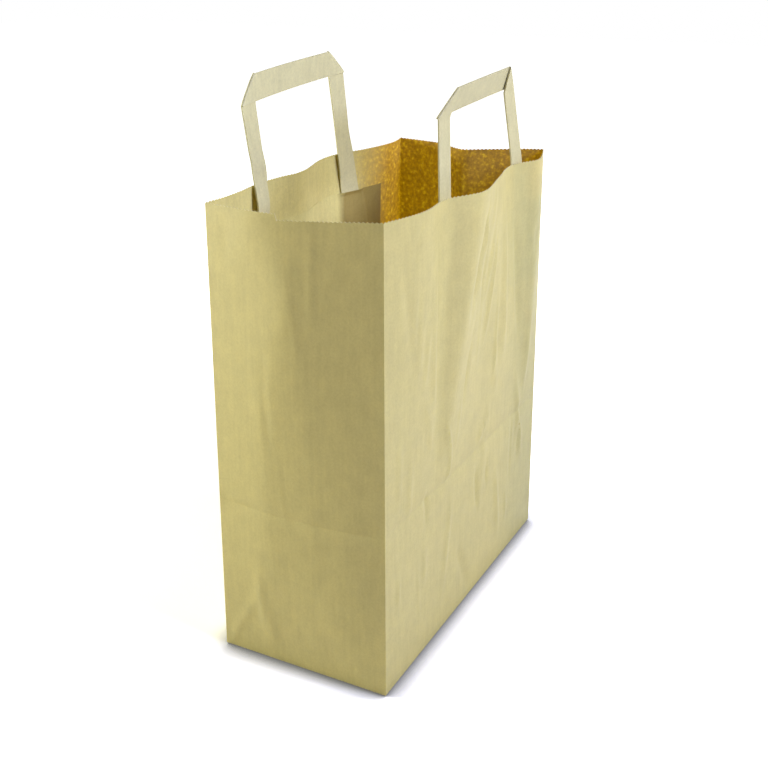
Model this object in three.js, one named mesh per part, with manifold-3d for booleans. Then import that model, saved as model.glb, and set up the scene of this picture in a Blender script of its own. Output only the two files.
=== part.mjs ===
// Paper carrier bag: one folded kraft sheet with side gussets and a block bottom,
// and two flat paper tape handles glued inside the wide panels, each under a paper patch.
// Millimetres, +Z up. The origin is on the floor under the middle of the base.
// Front is -Y and rear is +Y, the wide panels; near is -X and far is +X, the gussets.
import * as THREE from 'three';
import { mergeVertices } from 'three/addons/utils/BufferGeometryUtils.js';
import Module from 'manifold-3d';

// Bag sheet, with the mouth a little narrower than the base and set off from it
const paper = 0.14;
const baseWidth = 218;
const baseDepth = 104.5;
const bagHeight = 260;
const mouthNarrowing = 4.2;
const mouthShallowing = 6.7;
const mouthShiftX = 2.6;
const mouthShiftY = 1.3;
const mouthSkew = 1.6;

// Saw-tooth cut along the mouth, and the shallow dip of the cut on the near gusset
const toothPitch = 2.4;
const toothDepth = 0.7;
const dipDepth = 3;
const rimStrip = 4;

// Crease all round, where the flat bag was folded over on itself
const foldHeight = 96;
const foldDent = 1.2;
const foldReach = 12;

// Gussets: from the apex of the base triangle up, the near one stands out in a low ridge
// and the far one is folded inwards. Shares run from the front fold to the rear fold.
const nearGusset = { apexHeight: 45, apexOut: 2.5, apexShare: 0.71, mouthOut: 4.5, mouthShare: 0.52 };
const farGusset = { apexHeight: 52, apexOut: -1, apexShare: 0.5, mouthOut: -20, mouthShare: 0.49 };

// Wide panels: a belly and upright waves that grow from waveFloor up to the mouth.
// A wave has its place and half-width as shares of the panel, and how far it stands out.
const waveFloor = 70;
const frontBelly = 3;
const frontWaves = [
  { at: 0.13, reach: 0.13, out: 5 },
  { at: 0.42, reach: 0.17, out: 11 },
  { at: 0.57, reach: 0.13, out: 5.5 },
  { at: 0.87, reach: 0.13, out: 9.5 },
];
const rearBelly = 0.5;
const rearWaves = [
  { at: 0.27, reach: 0.13, out: 4 },
  { at: 0.42, reach: 0.08, out: -2.5 },
  { at: 0.64, reach: 0.19, out: 10 },
  { at: 0.89, reach: 0.1, out: -2 },
];

// Block bottom: two flaps folded under the base, the front one lapped over the rear one
const flapLap = 24;
const flapInset = 0.5;

// Handles: flat tape, folded over at two corners, its legs closing in towards the bar.
// Roll turns a handle in its own plane; nearLean and farLean are how far out of the bag it
// leans at the bar over either leg, and bowOut how far its middle bows out; barTilt turns the
// bar out about its lower edge; standOff is how far a leg stands off the mouth.
const tapeWidth = 14;
const tapeThickness = 0.8;
const tapeFoldGap = 0.5;
const legInset = 58;
const legTuck = 42;
const legRelease = 10;
const legSplay = 6;
const handleRise = 57;
const frontHandle = {
  side: -1,
  shiftX: 6.5,
  roll: 2.5,
  standOff: 0.8,
  nearLean: -3.5,
  farLean: -5,
  bowOut: -1,
  barTilt: 25,
};
const rearHandle = {
  side: 1,
  shiftX: -7,
  roll: 4,
  standOff: 1.4,
  nearLean: 8,
  farLean: 3,
  bowOut: 2,
  barTilt: 0,
};

// Patches over the handle ends, each reaching past the middle lines of its legs at the mouth
const patchReach = 33.6;
const patchHeight = 50;
const patchDrop = 24;
const patchRamp = 5;

// Clearances between glued layers
const seatGap = 0.3;
const patchGap = 0.5;

// Fineness of the meshes
const panelColumns = 44;
const gussetColumns = 12;
const rowStep = 24;
const legRows = 14;
const barRows = 5;
const patchColumnStep = 5;
const patchRows = 8;
const seatSamples = 8;

const mouthWidth = baseWidth - mouthNarrowing;
const mouthDepth = baseDepth - mouthShallowing;
const baseFloor = 2 * paper;

const mix = THREE.MathUtils.lerp;
const smooth = THREE.MathUtils.smoothstep;

// The vertical folds run straight from the base corners to the mouth corners
function corner(sideX, sideY, z) {
  const rise = z / bagHeight;
  const x = (sideX * mix(baseWidth, mouthWidth, rise)) / 2;
  const y = (sideY * mix(baseDepth, mouthDepth, rise)) / 2;
  return { x: x + rise * (mouthShiftX - sideY * mouthSkew), y: y + rise * mouthShiftY };
}

// The dent of the fold-over crease, which runs out at the vertical folds
function foldCrease(share, z) {
  const dent = Math.max(0, 1 - Math.abs(z - foldHeight) / foldReach);
  return -foldDent * dent * (1 - (2 * share - 1) ** 8);
}

function waveOut({ at, reach, out }, share) {
  const away = Math.min(Math.abs(share - at) / reach, 1);
  return (out * (1 + Math.cos(Math.PI * away))) / 2;
}

function panelOut(side, share, z) {
  const waves = side < 0 ? frontWaves : rearWaves;
  const belly = (side < 0 ? frontBelly : rearBelly) * 4 * share * (1 - share);
  const waved = waves.reduce((sum, wave) => sum + waveOut(wave, share), belly);
  return waved * smooth(z, waveFloor, bagHeight) + foldCrease(share, z);
}

// A wide panel, from its near fold (share 0) to its far fold (share 1)
function panelPoint(side, share, z) {
  const near = corner(-1, side, z);
  const far = corner(1, side, z);
  const y = mix(near.y, far.y, share) + side * panelOut(side, share, z);
  return new THREE.Vector3(mix(near.x, far.x, share), y, z);
}

// Where the centre fold of a gusset runs at a height
function gussetFold({ apexHeight, apexShare, mouthShare }, z) {
  return mix(apexShare, mouthShare, smooth(z, apexHeight, bagHeight));
}

function gussetOut(gusset, share, z) {
  const fold = gussetFold(gusset, z);
  const climb = Math.max(0, (z - gusset.apexHeight) / (bagHeight - gusset.apexHeight));
  const facet = Math.min(share / fold, (1 - share) / (1 - fold), z / gusset.apexHeight);
  return mix(gusset.apexOut, gusset.mouthOut, climb) * facet + foldCrease(share, z);
}

// A gusset, from its front fold (share 0) to its rear fold (share 1)
function gussetPoint(sideX, share, z) {
  const front = corner(sideX, -1, z);
  const rear = corner(sideX, 1, z);
  const out = gussetOut(sideX < 0 ? nearGusset : farGusset, share, z);
  return new THREE.Vector3(mix(front.x, rear.x, share) + sideX * out, mix(front.y, rear.y, share), z);
}

// Column places along a wall, even on a panel and with a gusset's centre fold on a column
const evenShares = (count) => Array.from({ length: count }, (_, i) => i / count);
const foldedShares = (count, fold) =>
  evenShares(count).map((t) => (t < 0.5 ? 2 * t * fold : mix(fold, 1, 2 * t - 1)));

// Height of the cut at the mouth: on the near gusset it drops at the centre fold and
// climbs back to the front fold
function nearMouthHeight(share) {
  const fold = nearGusset.mouthShare;
  return share < fold ? bagHeight - (dipDepth * share) / fold : bagHeight;
}

// The four walls in turn, against the clock as seen from above
const walls = [
  {
    length: baseWidth,
    columns: panelColumns,
    shares: evenShares,
    at: (t, z) => panelPoint(-1, t, z),
    mouth: () => bagHeight,
  },
  {
    length: baseDepth,
    columns: gussetColumns,
    shares: (count, z) => foldedShares(count, gussetFold(farGusset, z)),
    at: (t, z) => gussetPoint(1, t, z),
    mouth: () => bagHeight,
  },
  {
    length: baseWidth,
    columns: panelColumns,
    shares: evenShares,
    at: (t, z) => panelPoint(1, 1 - t, z),
    mouth: () => bagHeight,
  },
  {
    length: baseDepth,
    columns: gussetColumns,
    shares: (count, z) => foldedShares(count, 1 - gussetFold(nearGusset, z)),
    at: (t, z) => gussetPoint(-1, 1 - t, z),
    mouth: (t) => nearMouthHeight(1 - t),
  },
];
const toothColumns = (wall) => 2 * Math.round(wall.length / toothPitch);

const wallRing = (z) =>
  walls.flatMap((wall) => wall.shares(wall.columns, z).map((t) => wall.at(t, z)));

const toothedRing = () =>
  walls.flatMap((wall) =>
    wall
      .shares(toothColumns(wall), bagHeight)
      .map((t, i) => wall.at(t, wall.mouth(t) - (i % 2 ? 0 : toothDepth))),
  );

// The same ring, moved inwards by the thickness of the sheet
function insideRing(ring) {
  const inward = ring.map((p, i) => {
    const q = ring[(i + 1) % ring.length];
    return new THREE.Vector2(p.y - q.y, q.x - p.x).normalize();
  });
  return ring.map((p, i) => {
    const before = inward.at(i - 1);
    const shift = before.clone().add(inward[i]);
    shift.multiplyScalar(paper / (1 + before.dot(inward[i])));
    return new THREE.Vector3(p.x + shift.x, p.y + shift.y, p.z);
  });
}

// Heights of rows at the given heights and between them, no further apart than rowStep
function rowHeights(keys) {
  const sorted = [...keys].sort((a, b) => a - b);
  return sorted.flatMap((high, i) => {
    if (i === 0) return [high];
    const low = sorted[i - 1];
    const parts = Math.ceil((high - low) / rowStep);
    return Array.from({ length: parts }, (_, k) => mix(low, high, (k + 1) / parts));
  });
}

// A closed body put together from rings of points
class RingBody {
  points = [];
  triangles = [];

  add(ring) {
    const first = this.points.length;
    this.points.push(...ring);
    return ring.map((_, i) => first + i);
  }

  // Joins two rings of equal count
  band(low, high) {
    low.forEach((a, i) => {
      const j = (i + 1) % low.length;
      this.triangles.push([a, low[j], high[j]], [a, high[j], high[i]]);
    });
  }

  // Joins two rings that run along a sheet and back, with the same split on both of its faces
  sheetBand(low, high) {
    low.forEach((a, i) => {
      const j = (i + 1) % low.length;
      if (i < low.length / 2) {
        this.triangles.push([a, low[j], high[j]], [a, high[j], high[i]]);
      } else {
        this.triangles.push([a, low[j], high[i]], [low[j], high[j], high[i]]);
      }
    });
  }

  // Joins two rings of unequal count, wall by wall, by a step on whichever ring is behind
  zip(low, high, lowCounts, highCounts) {
    let i = 0;
    let j = 0;
    let lowStart = 0;
    let highStart = 0;
    lowCounts.forEach((lowCount, wall) => {
      const highCount = highCounts[wall];
      while (i < lowStart + lowCount || j < highStart + highCount) {
        const from = low[i % low.length];
        const to = high[j % high.length];
        if ((i + 1 - lowStart) / lowCount <= (j + 1 - highStart) / highCount) {
          i += 1;
          this.triangles.push([from, low[i % low.length], to]);
        } else {
          j += 1;
          this.triangles.push([from, high[j % high.length], to]);
        }
      }
      lowStart += lowCount;
      highStart += highCount;
    });
  }

  // Closes a ring with a fan around its middle
  fan(ring, middle) {
    const [hub] = this.add([middle]);
    ring.forEach((a, i) => this.triangles.push([a, hub, ring[(i + 1) % ring.length]]));
  }

  turnFrom(first) {
    this.triangles.slice(first).forEach((triangle) => triangle.reverse());
  }

  volume() {
    const [a, b, c] = [0, 1, 2].map((k) => (triangle) => this.points[triangle[k]]);
    const product = (t) => a(t).dot(new THREE.Vector3().crossVectors(b(t), c(t)));
    return this.triangles.reduce((sum, t) => sum + product(t), 0) / 6;
  }

  geometry() {
    if (this.volume() < 0) this.turnFrom(0);
    const geometry = new THREE.BufferGeometry().setFromPoints(this.points);
    return geometry.setIndex(this.triangles.flat());
  }
}

// The folded sheet without its bottom flaps: walls and base, with its true inside
function sheetShell() {
  const shell = new RingBody();
  const rimFoot = bagHeight - toothDepth - dipDepth - rimStrip;
  const creases = [foldHeight - foldReach, foldHeight, foldHeight + foldReach];
  const keys = [nearGusset.apexHeight, farGusset.apexHeight, ...creases, rimFoot];
  const columns = walls.map((wall) => wall.columns);
  const teeth = walls.map(toothColumns);
  const face = (bottom, place) => {
    const rows = rowHeights([bottom, ...keys]);
    const rings = rows.map((z) => shell.add(place(wallRing(z))));
    rings.slice(1).forEach((ring, i) => shell.band(rings[i], ring));
    const rim = shell.add(place(toothedRing()));
    shell.zip(rings.at(-1), rim, columns, teeth);
    shell.fan(rings[0], new THREE.Vector3(0, 0, bottom));
    return rim;
  };
  const outerRim = face(baseFloor, (ring) => ring);
  const insideStart = shell.triangles.length;
  const innerRim = face(baseFloor + paper, insideRing);
  shell.turnFrom(insideStart);
  shell.band(outerRim, innerRim);
  return shell.geometry();
}

// A bottom flap from one wide panel, with its ends folded in at 45 degrees
function flapPlate(side, underside) {
  const foldEdge = side * (baseDepth / 2 - flapInset);
  const freeEdge = (-side * flapLap) / 2;
  const half = baseWidth / 2 - flapInset;
  const freeHalf = half - Math.abs(foldEdge - freeEdge);
  const outline = new THREE.Shape([
    new THREE.Vector2(-half, foldEdge),
    new THREE.Vector2(half, foldEdge),
    new THREE.Vector2(freeHalf, freeEdge),
    new THREE.Vector2(-freeHalf, freeEdge),
  ]);
  const depth = baseFloor + paper / 2 - underside;
  return new THREE.ExtrudeGeometry(outline, { depth, bevelEnabled: false }).translate(0, 0, underside);
}

const wasm = await Module();
wasm.setup();

function toSolid(geometry) {
  const source = geometry.index ? geometry : weld(geometry);
  return new wasm.Manifold(
    new wasm.Mesh({
      numProp: 3,
      vertProperties: new Float32Array(source.attributes.position.array),
      triVerts: new Uint32Array(source.index.array),
    }),
  );
}

function weld(geometry) {
  const bare = geometry.clone();
  bare.deleteAttribute('normal');
  bare.deleteAttribute('uv');
  return mergeVertices(bare);
}

function toGeometry(solid) {
  const { vertProperties, triVerts } = solid.getMesh();
  const geometry = new THREE.BufferGeometry();
  geometry.setAttribute('position', new THREE.BufferAttribute(vertProperties, 3));
  return geometry.setIndex(new THREE.BufferAttribute(triVerts, 1));
}

function bagBody() {
  const flaps = [flapPlate(-1, 0), flapPlate(1, paper)];
  return toGeometry(flaps.reduce((body, flap) => body.add(toSolid(flap)), toSolid(sheetShell())));
}

// Inner face of a wide panel at a place, on the flats between the columns of its mesh
function insideY(side, x, z) {
  const near = corner(-1, side, z);
  const far = corner(1, side, z);
  const place = THREE.MathUtils.clamp((x - near.x) / (far.x - near.x), 0, 1) * panelColumns;
  const column = Math.min(Math.floor(place), panelColumns - 1);
  const ends = [column, column + 1].map((k) => panelPoint(side, k / panelColumns, z).y);
  return mix(ends[0], ends[1], place - column) - side * paper;
}

// Of two y values, the one that lies further inside the bag
const innermost = (side, a, b) => (side > 0 ? Math.min(a, b) : Math.max(a, b));

// Outer face of a tape that lies flat across a panel between two points, clear of its waves
function seatAcross(side, a, b) {
  const wallAt = (t) => insideY(side, mix(a.x, b.x, t), Math.min(mix(a.z, b.z, t), bagHeight));
  const ends = [wallAt(0), wallAt(1)];
  const pokes = evenShares(seatSamples).map((t) => side * (mix(ends[0], ends[1], t) - wallAt(t)));
  const lift = Math.max(0, ...pokes) + seatGap;
  return ends.map((y) => y - side * lift);
}

// Half of a handle in its own plane, from the end of a leg to the middle of the bar, as
// rows across the tape. Edge a is the leg's outer edge and then the bar's lower edge.
// Heights count from the mouth and lengths from the middle of the handle.
const splay = THREE.MathUtils.degToRad(legSplay);
const halfSpan = mouthWidth / 2 - legInset;
const barHeight = handleRise - tapeWidth / 2;
const legCentre = (height) => height * Math.tan(splay) - halfSpan;

function halfHandleRows() {
  const along = new THREE.Vector2(Math.sin(splay), Math.cos(splay));
  const across = new THREE.Vector2(-along.y, along.x).multiplyScalar(tapeWidth / 2);
  const foldAngle = Math.PI / 4 - splay / 2;
  const meeting = new THREE.Vector2(legCentre(barHeight), barHeight);
  const foldReachHalf = new THREE.Vector2(1 / Math.tan(foldAngle), 1).multiplyScalar(tapeWidth / 2);
  const fold = { a: meeting.clone().sub(foldReachHalf), b: meeting.clone().add(foldReachHalf) };
  const legEnd = -(patchDrop + legTuck);
  const legTop = fold.a.y - tapeWidth / 4;
  const leg = evenShares(legRows).map((t) => {
    const height = mix(legTop, legEnd, 1 - t);
    const centre = new THREE.Vector2(legCentre(height), height);
    return { a: centre.clone().add(across), b: centre.clone().sub(across), layer: 0 };
  });
  const pull = along.clone().multiplyScalar(-tapeThickness);
  const turn = [
    { ...fold, layer: 0, pull },
    { ...fold, layer: 1, pull: new THREE.Vector2(tapeThickness, 0) },
  ];
  const bar = evenShares(barRows).map((t) => {
    const x = mix(fold.b.x + tapeWidth / 4, 0, t);
    const low = new THREE.Vector2(x, barHeight - tapeWidth / 2);
    return { a: low, b: new THREE.Vector2(x, barHeight + tapeWidth / 2), layer: 1 };
  });
  return [...leg, ...turn, ...bar];
}

// The whole handle: the half rows, a row at the middle of the bar, and their mirror image
function handleRows() {
  const half = halfHandleRows();
  const turnOver = (p) => p && new THREE.Vector2(-p.x, p.y);
  const mirror = half.map(({ a, b, layer, pull }) => ({
    a: turnOver(a),
    b: turnOver(b),
    layer,
    pull: turnOver(pull),
  }));
  const middle = {
    a: new THREE.Vector2(0, barHeight - tapeWidth / 2),
    b: new THREE.Vector2(0, barHeight + tapeWidth / 2),
    layer: 1,
  };
  return [...half, middle, ...mirror.reverse()];
}

// A point of the handle's plane, turned by its roll and set on the panel
function handlePlace({ shiftX, roll }, p) {
  const turned = p.clone().rotateAround(new THREE.Vector2(), THREE.MathUtils.degToRad(roll));
  return { x: mouthShiftX + shiftX + turned.x, z: bagHeight + turned.y };
}

// The free surface that a handle follows above the mouth
function handleSurface(handle) {
  const { side, standOff, nearLean, farLean, bowOut } = handle;
  const feet = [-1, 1].map((leg) => handlePlace(handle, new THREE.Vector2(leg * halfSpan, 0)));
  const footY = feet.map(({ x }) => insideY(side, x, bagHeight) - side * (seatGap + standOff));
  return ({ x, z }) => {
    const share = (x - feet[0].x) / (feet[1].x - feet[0].x);
    const lean = (mix(nearLean, farLean, share) * (z - bagHeight)) / handleRise;
    const bow = bowOut * 4 * share * (1 - share);
    return mix(footY[0], footY[1], share) + side * (lean + bow);
  };
}

// The outer face of the tape at a row: seated on the panel below the patch's top edge,
// clear of the panel up to the mouth, and on the free surface above
function tapeRowY(handle, surface, row) {
  const ends = [handlePlace(handle, row.a), handlePlace(handle, row.b)];
  const seat = seatAcross(handle.side, ends[0], ends[1]);
  return ends.map((end, i) => {
    const free = smooth(end.z, bagHeight - patchDrop, bagHeight + legRelease);
    const y = mix(seat[i], surface(end), free);
    return end.z > bagHeight + legRelease ? y : innermost(handle.side, y, seat[i]);
  });
}

function handleBody(handle) {
  const body = new RingBody();
  const surface = handleSurface(handle);
  const still = new THREE.Vector2();
  const tilt = THREE.MathUtils.degToRad(handle.barTilt);
  const rings = handleRows().map((row) => {
    const y = tapeRowY(handle, surface, row);
    const barDepth = tapeThickness + tapeFoldGap;
    const outerDepth = row.layer ? barDepth + tapeThickness : 0;
    const innerDepth = row.layer ? barDepth : tapeThickness;
    const set = (p, i, depth) => {
      const over = Math.max(0, p.y - (barHeight - tapeWidth / 2));
      const tilted = new THREE.Vector2(p.x, p.y - over * (1 - Math.cos(tilt)));
      const { x, z } = handlePlace(handle, tilted);
      return new THREE.Vector3(x, y[i] + handle.side * (over * Math.sin(tilt) - depth), z);
    };
    const pull = row.pull ?? still;
    return body.add([
      set(row.a, 0, outerDepth),
      set(row.b, 1, outerDepth),
      set(row.b.clone().add(pull), 1, innerDepth),
      set(row.a.clone().add(pull), 0, innerDepth),
    ]);
  });
  rings.slice(1).forEach((ring, i) => body.band(rings[i], ring));
  const [start, end] = [rings[0], rings.at(-1)];
  body.triangles.push([start[0], start[2], start[1]], [start[0], start[3], start[2]]);
  body.triangles.push([end[0], end[1], end[2]], [end[0], end[2], end[3]]);
  return body.geometry();
}

// The edges of a leg at a height, the outer one first, and the tape's seat between them
function legAt(handle, leg, z) {
  const lean = THREE.MathUtils.degToRad(-leg * legSplay - handle.roll);
  const foot = handlePlace(handle, new THREE.Vector2(leg * halfSpan, 0));
  const centre = foot.x + Math.tan(lean) * (z - foot.z);
  const reach = (leg * tapeWidth) / (2 * Math.cos(lean));
  const edges = [centre + reach, centre - reach];
  const seat = seatAcross(handle.side, { x: edges[0], z }, { x: edges[1], z });
  return { edges, seat: seat.map((y) => y - handle.side * tapeThickness) };
}

// Places across a patch at a height, each with the y of the face that lies over the layers
function patchRow(handle, z) {
  const { side } = handle;
  const lay = (x) => ({ x, y: insideY(side, x, z) - side * patchGap });
  const run = (from, to, parts) => evenShares(parts).map((t) => lay(mix(from, to, t)));
  const middle = handlePlace(handle, new THREE.Vector2());
  const edge = (leg) => middle.x + leg * (halfSpan + patchReach);
  const [left, right] = [-1, 1].map((leg) => legAt(handle, leg, z));
  const over = ({ edges, seat }) =>
    edges.map((x, i) => ({ x, y: seat[i] - side * patchGap }));
  const sideParts = Math.ceil(patchReach / patchColumnStep);
  const middleParts = Math.ceil((2 * halfSpan) / patchColumnStep);
  return [
    ...run(edge(-1), left.edges[0] - patchRamp, sideParts),
    lay(left.edges[0] - patchRamp),
    ...over(left),
    ...run(left.edges[1] + patchRamp, right.edges[1] - patchRamp, middleParts),
    lay(right.edges[1] - patchRamp),
    ...over(right).reverse(),
    ...run(right.edges[0] + patchRamp, edge(1), sideParts),
    lay(edge(1)),
  ];
}

function patchBody(handle) {
  const body = new RingBody();
  const top = bagHeight - patchDrop;
  const rings = Array.from({ length: patchRows + 1 }, (_, i) => {
    const z = top - patchHeight * (1 - i / patchRows);
    const outer = patchRow(handle, z).map(({ x, y }) => new THREE.Vector3(x, y, z));
    const shift = new THREE.Vector3(0, -handle.side * paper, 0);
    const inner = outer.map((p) => p.clone().add(shift)).reverse();
    return body.add([...outer, ...inner]);
  });
  rings.slice(1).forEach((ring, i) => body.sheetBand(rings[i], ring));
  const cap = (ring) => {
    const count = ring.length;
    for (let i = 0; i + 1 < count / 2; i += 1) {
      const [a, b, c, d] = [ring[i], ring[i + 1], ring[count - 2 - i], ring[count - 1 - i]];
      body.triangles.push([a, c, b], [a, d, c]);
    }
  };
  cap(rings[0]);
  const topStart = body.triangles.length;
  cap(rings.at(-1));
  body.turnFrom(topStart);
  return body.geometry();
}

const kraft = new THREE.MeshStandardMaterial({ color: 0xc9ba80, roughness: 0.85, metalness: 0 });
const tape = new THREE.MeshStandardMaterial({ color: 0xd0caa2, roughness: 0.8, metalness: 0 });
const patchPaper = new THREE.MeshStandardMaterial({ color: 0xb8a468, roughness: 0.88, metalness: 0 });

const bag = new THREE.Group();
function addPiece(name, geometry, material) {
  const piece = new THREE.Mesh(geometry, material);
  piece.name = name;
  bag.add(piece);
}
addPiece('bag_body', bagBody(), kraft);
addPiece('front_handle', handleBody(frontHandle), tape);
addPiece('rear_handle', handleBody(rearHandle), tape.clone());
addPiece('front_patch', patchBody(frontHandle), patchPaper);
addPiece('rear_patch', patchBody(rearHandle), patchPaper.clone());

export default bag;
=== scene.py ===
"""Paper carrier bag: a folded kraft sheet with creases and waves, tape handles and patches."""
import math

import bpy
import numpy as np
from mathutils import Matrix, Vector


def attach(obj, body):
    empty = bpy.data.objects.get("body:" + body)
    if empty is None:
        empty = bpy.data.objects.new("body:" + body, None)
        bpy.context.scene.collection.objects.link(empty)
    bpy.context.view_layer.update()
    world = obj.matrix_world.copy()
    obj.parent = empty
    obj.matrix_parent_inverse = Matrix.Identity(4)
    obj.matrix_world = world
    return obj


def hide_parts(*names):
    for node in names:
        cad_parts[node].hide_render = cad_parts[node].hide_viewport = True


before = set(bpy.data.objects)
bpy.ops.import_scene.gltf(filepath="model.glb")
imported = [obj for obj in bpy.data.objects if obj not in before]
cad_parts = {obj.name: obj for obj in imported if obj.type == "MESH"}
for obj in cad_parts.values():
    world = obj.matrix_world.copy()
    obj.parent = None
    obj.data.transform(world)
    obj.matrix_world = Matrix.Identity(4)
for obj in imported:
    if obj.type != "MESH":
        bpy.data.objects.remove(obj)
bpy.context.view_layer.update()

# Shapes are worked out in millimetres, in the frame of the solids, and set in metres.
# Front is -Y and rear is +Y, the wide panels; near is -X and far is +X, the gussets.
MM = 0.001
SEED = 7

# Bag sheet, as in the solids: the mouth is a little narrower than the base and set off from it
PAPER = 0.14
BASE_WIDTH = 218.0
BASE_DEPTH = 104.5
BAG_HEIGHT = 260.0
MOUTH_NARROWING = 4.2
MOUTH_SHALLOWING = 6.7
MOUTH_SHIFT_X = 2.6
MOUTH_SHIFT_Y = 1.3
MOUTH_SKEW = 1.6
BASE_FLOOR = 2 * PAPER

# Saw-tooth cut along the mouth, with a frayed edge, and the dip of the cut on the near gusset
TOOTH_PITCH = 2.4
TOOTH_DEPTH = 0.65
FRAY = 0.32
DIP_DEPTH = 3.0
RIM_STRIP = 6.0
RIM_ROWS = 3

# Bottom edge: how far it stands off the floor, its rounding, and how far in the base comes down
EDGE_LIFT = 0.2
EDGE_ROUND = 0.8
EDGE_FALL = 16.0

# Rows of the sheet: their spacing on the walls, shares of the rounding, distances in on the base
ROW_STEP = 4.2
EDGE_ROWS = (0, 0.08, 0.3, 0.6)
BASE_ROWS = (4, 8, 12, 16, 45)

# Crease all round, where the flat bag was folded over on itself: its place and depth, how steep it is
# in the middle and how late it runs out at the vertical folds, as powers, and its rows
FOLD_HEIGHT = 96.0
FOLD_DENT = 0.9
FOLD_REACH = 7.0
FOLD_STEEPNESS = 1.5
FOLD_RUN_OUT = 8
FOLD_ROWS = (-FOLD_REACH, -3, -1.5, -0.6, 0, 0.6, 1.5, 3, FOLD_REACH)

# Wide panels: how far the mouth stands out from its straight line, by share of the panel
WAVE_FLOOR = 70.0
RIM_BLUR = 0.012
FRONT_RIM = [
    (0, 0), (0.04, 2.4), (0.087, 5.0), (0.117, 6.2), (0.165, 6.9), (0.231, 4.9), (0.263, 4.6),
    (0.296, 5.6), (0.33, 9.6), (0.366, 13.2), (0.388, 14.6), (0.423, 14.5), (0.477, 12.3),
    (0.532, 9.5), (0.594, 6.8), (0.667, 2.9), (0.716, 1.5), (0.742, 2.2), (0.778, 3.8),
    (0.8, 5.8), (0.824, 8.6), (0.845, 9.6), (0.882, 8.0), (0.945, 4.0), (1, 0),
]
REAR_RIM = [
    (0, 0), (0.07, -1.2), (0.147, -0.4), (0.207, 1.8), (0.284, 2.1), (0.34, 0.9), (0.386, -1.7),
    (0.439, -0.8), (0.5, 2.8), (0.552, 6.2), (0.601, 7.9), (0.649, 8.3), (0.7, 6.0), (0.738, 3.4),
    (0.768, 1.0), (0.821, -1.3), (0.869, -3.0), (0.92, -3.6), (0.975, -1.8), (1, 0),
]

# The front panel's waves lean as they run down: share moved per millimetre, by share
LEAN_REACH = 110.0
LEAN_BLUR = 0.03
FRONT_LEAN = [
    (0, 0), (0.2, 0.0004), (0.35, -0.0006), (0.45, -0.0012), (0.55, -0.0010), (0.62, 0),
    (0.7, 0.0007), (0.82, 0.0009), (1, 0),
]
REAR_LEAN = [(0, 0), (1, 0)]

# Near gusset, from its front fold (share 0) to its rear fold: how far it stands out, by height
NEAR_FOLD = 0.55
NEAR_BLUR = 0.035
NEAR_LINES = [
    (0, [(0, 0), (1, 0)]),
    (40, [(0, 0), (0.15, 1.9), (0.3, 2.7), (0.7, 2.2), (1, 0)]),
    (72, [(0, 0), (0.2, 2.9), (0.4, 4.1), (0.68, 4.1), (1, 0)]),
    (106, [(0, 0), (0.2, 3.0), (0.4, 4.4), (0.68, 4.6), (1, 0)]),
    (150, [(0, 0), (0.2, 2.9), (0.42, 5.4), (0.65, 5.7), (1, 0)]),
    (185, [(0, 0), (0.2, 2.9), (0.46, 6.5), (0.6, 6.6), (1, 0)]),
    (218, [(0, 0), (0.2, 2.9), (0.52, 7.2), (1, 0)]),
    (255, [(0, 0), (0.2, 2.4), (0.42, 5.0), (0.6, 5.9), (0.72, 4.9), (1, 0)]),
]

# Far gusset: the height where its base folds spread, the mouth's line, and by height the reach and
# the share of the centre fold
FAR_APEX = 52.0
FAR_RIM = [
    (0, 0), (0.126, -4.2), (0.212, -9.3), (0.338, -16.3), (0.422, -21.5), (0.46, -22.3),
    (0.523, -18.9), (0.587, -13.5), (0.712, -5.6), (0.796, -3.6), (0.889, -1.6), (1, 0),
]
FAR_REACH = [(0, -1.0), (FAR_APEX, -1.0), (BAG_HEIGHT, -22.0)]
FAR_FOLD = [(0, 0.5), (FAR_APEX, 0.5), (BAG_HEIGHT, 0.46)]

# Creases: an end fades from CREASE_BEFORE outside it to CREASE_AFTER inside it, by shares of the
# length, and within a margin of the walls' folds they run out
CREASE_BEFORE = 0.1
CREASE_AFTER = 0.3
PANEL_MARGIN = 8.0
GUSSET_MARGIN = 6.0

# Creases, given one by one: start along the wall and height, end along the wall and height, width,
# height
FRONT_MARKS = [
    (101, 250, 84, 190, 5.0, -2.6),
    (122, 226, 110, 192, 2.2, 1.1),
    (129, 226, 119, 166, 2.4, 1.3),
    (143, 236, 153, 146, 4.0, 1.6),
    (163, 234, 181, 146, 3.0, -1.3),
    (43, 224, 53, 138, 3.5, 1.3),
    (66, 136, 77, 110, 2.0, 1.4),
    (77, 112, 74, 96, 1.8, 1.1),
    (136, 115, 119, 101, 1.6, 1.1),
    (118, 84, 122, 56, 2.0, -1.2),
    (135, 80, 136, 66, 2.0, -1.0),
    (49, 101, 49, 80, 2.5, -1.0),
    (92, 44, 112, 6, 4.0, -1.5),
    (180, 120, 196, 60, 3.0, 1.4),
    (150, 70, 158, 20, 3.0, 1.0),
]
NEAR_MARKS = [
    (36, 256, 37, 200, 2.2, 0.25),
    (62, 168, 74, 154, 4.0, 0.3),
    (1, 1, 33, 21, 2.0, 0.8),
    (33, 21, 48, 23, 2.5, 0.4),
    (103, 2, 78, 43, 2.5, 0.55),
    (79, 48, 68, 8, 4.5, 0.5),
]

# Scattered creases: ranges of their share of the wall, start, length, width and share of the height,
# the spread of their lean per length, and how far under the mouth they end
SCATTER_SHARE = (0.06, 0.94)
SCATTER_START = (14, 235)
SCATTER_LENGTH = (18, 60)
SCATTER_WIDTH = (1.4, 4.0)
SCATTER_HEIGHT = (0.35, 1)
SCATTER_LEAN = 0.12
SCATTER_TOP = 4

# Bottom flaps
FLAP_LAP = 24.0
FLAP_INSET = 0.5
FLAP_GAP = 0.01
FLAP_ROWS = 24
FLAP_COLUMNS = 40

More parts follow.
